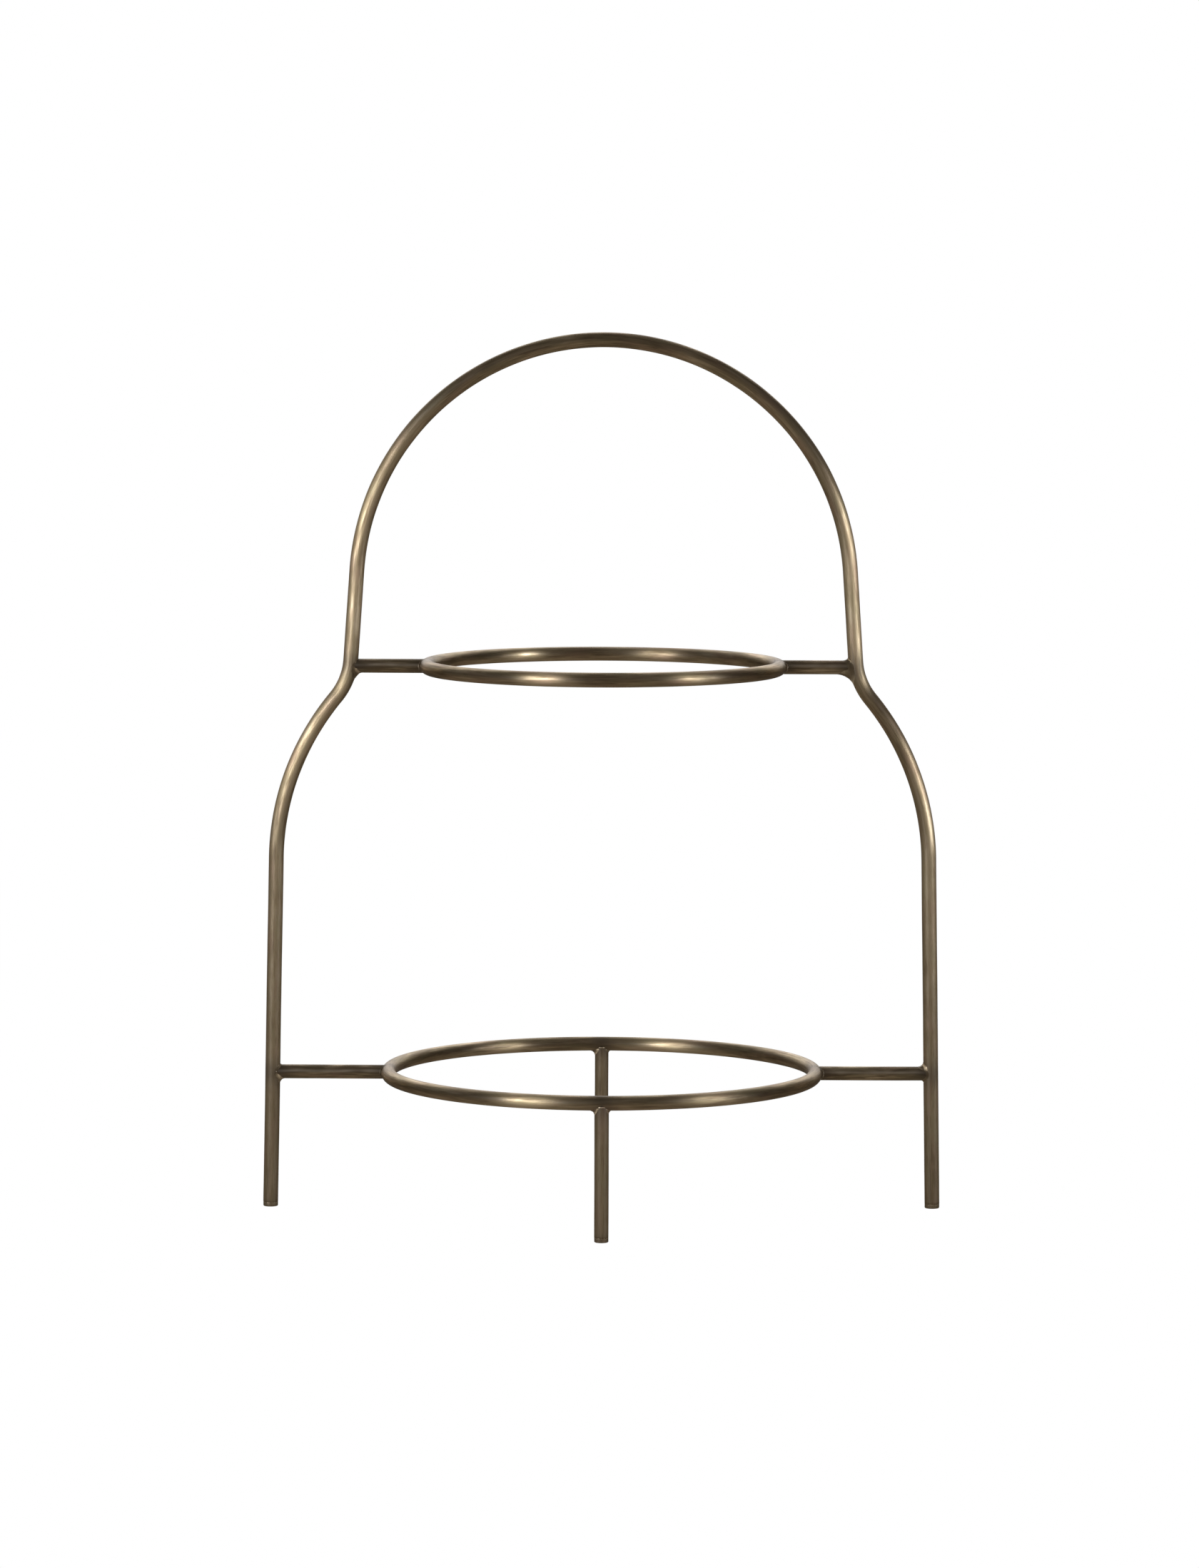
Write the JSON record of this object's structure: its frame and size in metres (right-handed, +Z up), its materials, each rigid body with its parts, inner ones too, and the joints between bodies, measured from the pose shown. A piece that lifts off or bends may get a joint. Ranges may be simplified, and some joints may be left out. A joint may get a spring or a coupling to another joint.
{
  "type": "tiered cake stand",
  "caption": "Table stand of bent brass tube: a hoop whose arched top is the handle, with two round plate rings between its legs and short legs under the lower ring.",
  "frame": {"origin": "on the floor, midway between the four feet", "axes": "+Z up, +X to the right in the plane of the hoop, +Y to the rear, through the rear leg"},
  "size_m": [0.31, 0.202, 0.4],
  "materials": {
    "hoop_brass": "antique brass, dark brown patina drawn along the tube, satin sheen",
    "ring_brass": "antique brass, a little brighter along the top where plates rub it",
    "strut_brass": "antique brass, dark brown patina, satin sheen",
    "brazing": "lumpy brazed bead under the same patina, greyer and more uneven",
    "foot_plug": "turned plug under the same patina, rubbed at the rim"
  },
  "bodies": {
    "root": {"frame_hoop": "hoop_brass", "upper_ring": "ring_brass", "lower_ring": "ring_brass", "upper_left_strut": "strut_brass", "upper_left_hoop_bead": "brazing", "upper_left_ring_bead": "brazing", "upper_right_strut": "strut_brass", "upper_right_hoop_bead": "brazing", "upper_right_ring_bead": "brazing", "lower_left_strut": "strut_brass", "lower_left_hoop_bead": "brazing", "lower_left_ring_bead": "brazing", "lower_right_strut": "strut_brass", "lower_right_hoop_bead": "brazing", "lower_right_ring_bead": "brazing", "front_leg": "strut_brass", "front_leg_bead": "brazing", "front_foot_plug": "foot_plug", "rear_leg": "strut_brass", "rear_leg_bead": "brazing", "rear_foot_plug": "foot_plug", "left_foot_plug": "foot_plug", "right_foot_plug": "foot_plug"}
  },
  "joints": []
}
